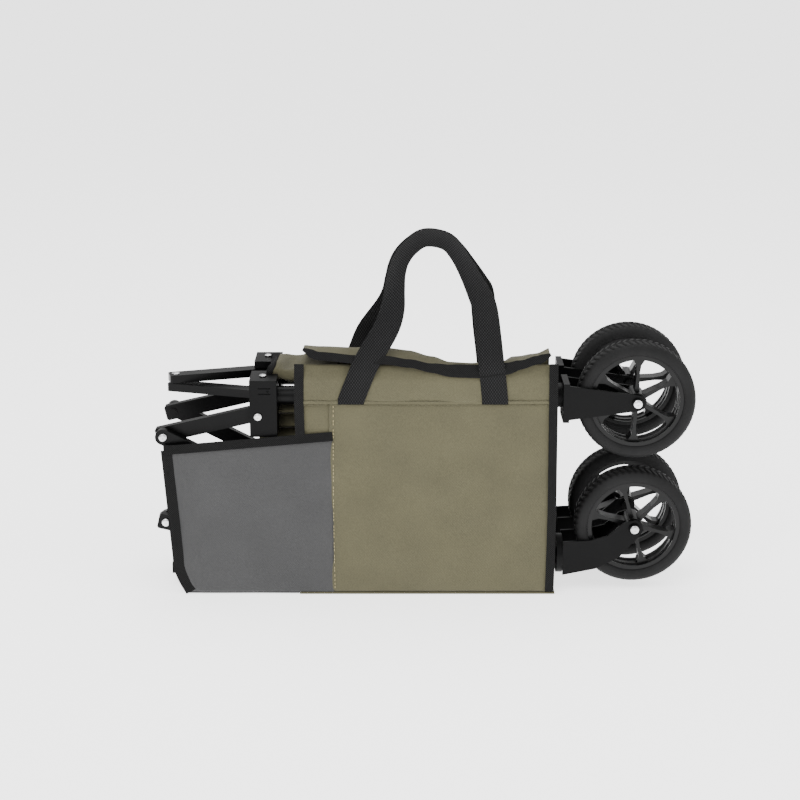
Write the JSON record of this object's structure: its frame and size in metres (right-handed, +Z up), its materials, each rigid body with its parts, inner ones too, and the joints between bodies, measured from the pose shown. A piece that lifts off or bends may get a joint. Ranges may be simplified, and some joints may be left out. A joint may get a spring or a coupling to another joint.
{
  "type": "folding camp wagon",
  "caption": "Folding camp wagon, folded in its carry wrap, with a jointed rail frame, two casters, two fixed wheels and two carry straps.",
  "frame": {"origin": "on the ground under the middle of the carry wrap", "axes": "+X from the top rails towards the wheels, +Y from the near long side to the far one, +Z up"},
  "size_m": [0.8035, 0.1908, 0.543],
  "materials": {
    "frame_black": "satin",
    "moulded_black": "satin",
    "tyre": "matte",
    "webbing_black": "matte",
    "fabric_khaki": "matte",
    "fabric_grey": "matte"
  },
  "bodies": {
    "front_near": {"post_front_near": "frame_black", "blocks_front_near": "moulded_black", "wrap_bottom": "fabric_khaki", "grey_flap": "fabric_grey", "tub_near": "fabric_khaki", "tub_front": "fabric_khaki"},
    "rear_near": {"post_rear_near": "frame_black", "blocks_rear_near": "moulded_black", "fork_rear_near": "moulded_black"},
    "front_far": {"post_front_far": "frame_black", "blocks_front_far": "moulded_black", "tub_far": "fabric_khaki"},
    "rear_far": {"post_rear_far": "frame_black", "blocks_rear_far": "moulded_black", "fork_rear_far": "moulded_black"},
    "tub_rear_hem": {"tub_rear": "fabric_khaki"},
    "side_rail_near_1": {"side_rail_near_1": "frame_black"},
    "side_rail_near_2": {"side_rail_near_2": "frame_black"},
    "side_rail_near_3": {"side_rail_near_3": "frame_black"},
    "side_rail_near_4": {"side_rail_near_4": "frame_black"},
    "base_rail_near_1": {"base_rail_near_1": "frame_black"},
    "base_rail_near_2": {"base_rail_near_2": "frame_black"},
    "side_rail_far_1": {"side_rail_far_1": "frame_black"},
    "side_rail_far_2": {"side_rail_far_2": "frame_black"},
    "side_rail_far_3": {"side_rail_far_3": "frame_black"},
    "side_rail_far_4": {"side_rail_far_4": "frame_black"},
    "base_rail_far_1": {"base_rail_far_1": "frame_black"},
    "base_rail_far_2": {"base_rail_far_2": "frame_black"},
    "end_rail_front_near": {"end_rail_front_near": "frame_black"},
    "base_end_front_near": {"base_end_front_near": "frame_black"},
    "end_rail_front_far": {"end_rail_front_far": "frame_black"},
    "base_end_front_far": {"base_end_front_far": "frame_black"},
    "end_rail_rear_near": {"end_rail_rear_near": "frame_black"},
    "base_end_rear_near": {"base_end_rear_near": "frame_black"},
    "end_rail_rear_far": {"end_rail_rear_far": "frame_black"},
    "base_end_rear_far": {"base_end_rear_far": "frame_black"},
    "floor_near_front": {"floor_near_front": "fabric_grey"},
    "floor_near_rear": {"floor_near_rear": "fabric_grey"},
    "floor_far_front": {"floor_far_front": "fabric_grey"},
    "floor_far_rear": {"floor_far_rear": "fabric_grey"},
    "wrap_near": {"wrap_near": "fabric_khaki"},
    "wrap_back": {"wrap_back": "fabric_khaki"},
    "wrap_top": {"wrap_top": "fabric_khaki"},
    "handle_base": {"handle_bracket": "moulded_black", "handle_tube": "frame_black"},
    "handle_inner": {"handle_grip": "moulded_black"},
    "strap_near": {"strap_near": "webbing_black"},
    "strap_far": {"strap_far": "webbing_black"},
    "caster_near": {"caster_near": "moulded_black"},
    "wheel_front_near": {"tyre_front_near": "tyre", "rim_front_near": "moulded_black"},
    "wheel_rear_near": {"tyre_rear_near": "tyre", "rim_rear_near": "moulded_black"},
    "caster_far": {"caster_far": "moulded_black"},
    "wheel_front_far": {"tyre_front_far": "tyre", "rim_front_far": "moulded_black"},
    "wheel_rear_far": {"tyre_rear_far": "tyre", "rim_rear_far": "moulded_black"}
  },
  "joints": [
    {"name": "unfold", "type": "slide", "parent": "front_near", "child": "rear_near", "axis": [0, 0, 1], "range_m": [0, 0.381], "deforming": ["tub_near", "tub_front"]},
    {"name": "front_widen", "type": "slide", "parent": "front_near", "child": "front_far", "axis": [0, 1, 0], "range_m": [0, 0.1895], "deforming": ["tub_far"]},
    {"name": "rear_far_rise", "type": "slide", "parent": "front_far", "child": "rear_far", "axis": [0, 0, 1], "range_m": [0, 0.3815]},
    {"name": "tub_rear_widen", "type": "slide", "parent": "rear_near", "child": "tub_rear_hem", "axis": [0, 1, 0], "range_m": [0, 0.1895], "deforming": ["tub_rear"]},
    {"name": "side_near_1", "type": "hinge", "parent": "front_near", "child": "side_rail_near_1", "pos_m": [-0.248, -0.065, 0.079], "axis": [0, 1, 0], "range_deg": [0, 76.89]},
    {"name": "side_near_2", "type": "hinge", "parent": "side_rail_near_1", "child": "side_rail_near_2", "pos_m": [-0.38919, -0.065, 0.112], "axis": [0, 1, 0], "range_deg": [-139.6, 0]},
    {"name": "side_near_4", "type": "hinge", "parent": "rear_near", "child": "side_rail_near_4", "pos_m": [-0.248, -0.065, 0.278], "axis": [0, 1, 0], "range_deg": [-76.89, 0]},
    {"name": "side_near_3", "type": "hinge", "parent": "side_rail_near_4", "child": "side_rail_near_3", "pos_m": [-0.38919, -0.065, 0.245], "axis": [0, 1, 0], "range_deg": [0, 139.6]},
    {"name": "base_near_1", "type": "hinge", "parent": "front_near", "child": "base_rail_near_1", "pos_m": [0.16, -0.065, 0.094], "axis": [0, 1, 0], "range_deg": [0, 72.16]},
    {"name": "base_near_2", "type": "hinge", "parent": "rear_near", "child": "base_rail_near_2", "pos_m": [0.16, -0.065, 0.263], "axis": [0, 1, 0], "range_deg": [-72.16, 0]},
    {"name": "side_far_1", "type": "hinge", "parent": "front_far", "child": "side_rail_far_1", "pos_m": [-0.248, 0.065, 0.079], "axis": [0, 1, 0], "range_deg": [0, 76.89]},
    {"name": "side_far_2", "type": "hinge", "parent": "side_rail_far_1", "child": "side_rail_far_2", "pos_m": [-0.38919, 0.065, 0.112], "axis": [0, 1, 0], "range_deg": [-139.6, 0]},
    {"name": "side_far_4", "type": "hinge", "parent": "rear_far", "child": "side_rail_far_4", "pos_m": [-0.248, 0.065, 0.278], "axis": [0, 1, 0], "range_deg": [-76.89, 0]},
    {"name": "side_far_3", "type": "hinge", "parent": "side_rail_far_4", "child": "side_rail_far_3", "pos_m": [-0.38919, 0.065, 0.245], "axis": [0, 1, 0], "range_deg": [0, 139.6]},
    {"name": "base_far_1", "type": "hinge", "parent": "front_far", "child": "base_rail_far_1", "pos_m": [0.16, 0.065, 0.094], "axis": [0, 1, 0], "range_deg": [0, 72.16]},
    {"name": "base_far_2", "type": "hinge", "parent": "rear_far", "child": "base_rail_far_2", "pos_m": [0.16, 0.065, 0.263], "axis": [0, 1, 0], "range_deg": [-72.16, 0]},
    {"name": "end_front_near", "type": "hinge", "parent": "front_near", "child": "end_rail_front_near", "pos_m": [-0.248, -0.0375, 0.054], "axis": [0, 0, 1], "range_deg": [-73.55, 0]},
    {"name": "base_end_front_near_fold", "type": "hinge", "parent": "front_near", "child": "base_end_front_near", "pos_m": [0.16, -0.0245, 0.054], "axis": [0, 0, 1], "range_deg": [-78.17, 0]},
    {"name": "end_front_far", "type": "hinge", "parent": "front_far", "child": "end_rail_front_far", "pos_m": [-0.248, 0.0375, 0.054], "axis": [0, 0, 1], "range_deg": [0, 73.55]},
    {"name": "base_end_front_far_fold", "type": "hinge", "parent": "front_far", "child": "base_end_front_far", "pos_m": [0.16, 0.0245, 0.054], "axis": [0, 0, 1], "range_deg": [0, 78.17]},
    {"name": "end_rear_near", "type": "hinge", "parent": "rear_near", "child": "end_rail_rear_near", "pos_m": [-0.248, -0.0375, 0.303], "axis": [0, 0, 1], "range_deg": [-73.55, 0]},
    {"name": "base_end_rear_near_fold", "type": "hinge", "parent": "rear_near", "child": "base_end_rear_near", "pos_m": [0.16, -0.0245, 0.303], "axis": [0, 0, 1], "range_deg": [-78.17, 0]},
    {"name": "end_rear_far", "type": "hinge", "parent": "rear_far", "child": "end_rail_rear_far", "pos_m": [-0.248, 0.0375, 0.303], "axis": [0, 0, 1], "range_deg": [0, 73.55]},
    {"name": "base_end_rear_far_fold", "type": "hinge", "parent": "rear_far", "child": "base_end_rear_far", "pos_m": [0.16, 0.0245, 0.303], "axis": [0, 0, 1], "range_deg": [0, 78.17]},
    {"name": "floor_near_fold", "type": "hinge", "parent": "front_near", "child": "floor_near_front", "pos_m": [0.135, -0.042, 0.1785], "axis": [0, 0, 1], "range_deg": [-90.05, 0], "deforming": ["floor_near_front"]},
    {"name": "floor_near_stretch", "type": "slide", "parent": "floor_near_front", "child": "floor_near_rear", "axis": [0, 0, 1], "range_m": [0, 0.3815], "deforming": ["floor_near_rear"]},
    {"name": "floor_far_fold", "type": "hinge", "parent": "front_far", "child": "floor_far_front", "pos_m": [0.135, 0.042, 0.1785], "axis": [0, 0, 1], "range_deg": [0, 90.05], "deforming": ["floor_far_front"]},
    {"name": "floor_far_stretch", "type": "slide", "parent": "floor_far_front", "child": "floor_far_rear", "axis": [0, 0, 1], "range_m": [0, 0.3815], "deforming": ["floor_far_rear"]},
    {"name": "wrap_near_open", "type": "hinge", "parent": "front_near", "child": "wrap_near", "pos_m": [0, -0.088, 0.004], "axis": [1, 0, 0], "range_deg": [0, 90.05]},
    {"name": "wrap_open", "type": "hinge", "parent": "front_near", "child": "wrap_back", "pos_m": [0, 0.088, 0.004], "axis": [1, 0, 0], "range_deg": [-90.05, 0], "deforming": ["wrap_back"]},
    {"name": "flap_fold", "type": "hinge", "parent": "wrap_back", "child": "wrap_top", "pos_m": [0, 0.0877, 0.3222], "axis": [1, 0, 0], "range_deg": [0, 20.05], "deforming": ["wrap_top"]},
    {"name": "handle_carry", "type": "slide", "parent": "front_near", "child": "handle_base", "axis": [0.7765, 0.6301, 0], "range_m": [0, 0.15047]},
    {"name": "handle_pull", "type": "slide", "parent": "handle_base", "child": "handle_inner", "axis": [-1, 0, 0], "range_m": [0, 0.16]},
    {"name": "strap_near_fall", "type": "hinge", "parent": "wrap_near", "child": "strap_near", "pos_m": [0, -0.0905, 0.299], "axis": [1, 0, 0], "range_deg": [0, 150]},
    {"name": "strap_far_fall", "type": "hinge", "parent": "wrap_back", "child": "strap_far", "pos_m": [0, 0.0905, 0.299], "axis": [1, 0, 0], "range_deg": [-150, 0]},
    {"name": "caster_near_swivel", "type": "hinge", "parent": "front_near", "child": "caster_near", "pos_m": [0.21, -0.0525, 0.054], "axis": [1, 0, 0], "range_deg": [-8, 100]},
    {"name": "wheel_front_near_spin", "type": "hinge", "parent": "caster_near", "child": "wheel_front_near", "pos_m": [0.312, -0.0525, 0.102], "axis": [0, 1, 0], "continuous": true},
    {"name": "wheel_rear_near_spin", "type": "hinge", "parent": "rear_near", "child": "wheel_rear_near", "pos_m": [0.31, -0.0525, 0.298], "axis": [0, 1, 0], "continuous": true},
    {"name": "caster_far_swivel", "type": "hinge", "parent": "front_far", "child": "caster_far", "pos_m": [0.21, 0.0525, 0.054], "axis": [1, 0, 0], "range_deg": [-100, 8]},
    {"name": "wheel_front_far_spin", "type": "hinge", "parent": "caster_far", "child": "wheel_front_far", "pos_m": [0.312, 0.0525, 0.102], "axis": [0, 1, 0], "continuous": true},
    {"name": "wheel_rear_far_spin", "type": "hinge", "parent": "rear_far", "child": "wheel_rear_far", "pos_m": [0.31, 0.0525, 0.298], "axis": [0, 1, 0], "continuous": true}
  ],
  "couplings": [
    {"joint": "front_widen", "follows": "unfold", "ratio": 0.49606},
    {"joint": "rear_far_rise", "follows": "unfold", "ratio": 1},
    {"joint": "tub_rear_widen", "follows": "unfold", "ratio": 0.49606},
    {"joint": "side_near_1", "follows": "unfold", "rad_per_m": 3.5202},
    {"joint": "side_near_2", "follows": "unfold", "rad_per_m": -6.3925},
    {"joint": "side_near_4", "follows": "unfold", "rad_per_m": -3.5202},
    {"joint": "side_near_3", "follows": "unfold", "rad_per_m": 6.3925},
    {"joint": "base_near_1", "follows": "unfold", "rad_per_m": 3.3031},
    {"joint": "base_near_2", "follows": "unfold", "rad_per_m": -3.3031},
    {"joint": "side_far_1", "follows": "unfold", "rad_per_m": 3.5202},
    {"joint": "side_far_2", "follows": "unfold", "rad_per_m": -6.3925},
    {"joint": "side_far_4", "follows": "unfold", "rad_per_m": -3.5202},
    {"joint": "side_far_3", "follows": "unfold", "rad_per_m": 6.3925},
    {"joint": "base_far_1", "follows": "unfold", "rad_per_m": 3.3031},
    {"joint": "base_far_2", "follows": "unfold", "rad_per_m": -3.3031},
    {"joint": "end_front_near", "follows": "unfold", "rad_per_m": -3.3668},
    {"joint": "base_end_front_near_fold", "follows": "unfold", "rad_per_m": -3.5786},
    {"joint": "end_front_far", "follows": "unfold", "rad_per_m": 3.3668},
    {"joint": "base_end_front_far_fold", "follows": "unfold", "rad_per_m": 3.5786},
    {"joint": "end_rear_near", "follows": "unfold", "rad_per_m": -3.3668},
    {"joint": "base_end_rear_near_fold", "follows": "unfold", "rad_per_m": -3.5786},
    {"joint": "end_rear_far", "follows": "unfold", "rad_per_m": 3.3668},
    {"joint": "base_end_rear_far_fold", "follows": "unfold", "rad_per_m": 3.5786},
    {"joint": "floor_near_fold", "follows": "unfold", "rad_per_m": -4.1228},
    {"joint": "floor_near_stretch", "follows": "unfold", "ratio": 1},
    {"joint": "floor_far_fold", "follows": "unfold", "rad_per_m": 4.1228},
    {"joint": "floor_far_stretch", "follows": "unfold", "ratio": 1},
    {"joint": "wrap_near_open", "follows": "unfold", "rad_per_m": 4.1228},
    {"joint": "wrap_open", "follows": "unfold", "rad_per_m": -4.1228},
    {"joint": "flap_fold", "follows": "unfold", "rad_per_m": 0.91618},
    {"joint": "handle_carry", "follows": "unfold", "ratio": 0.39362}
  ]
}
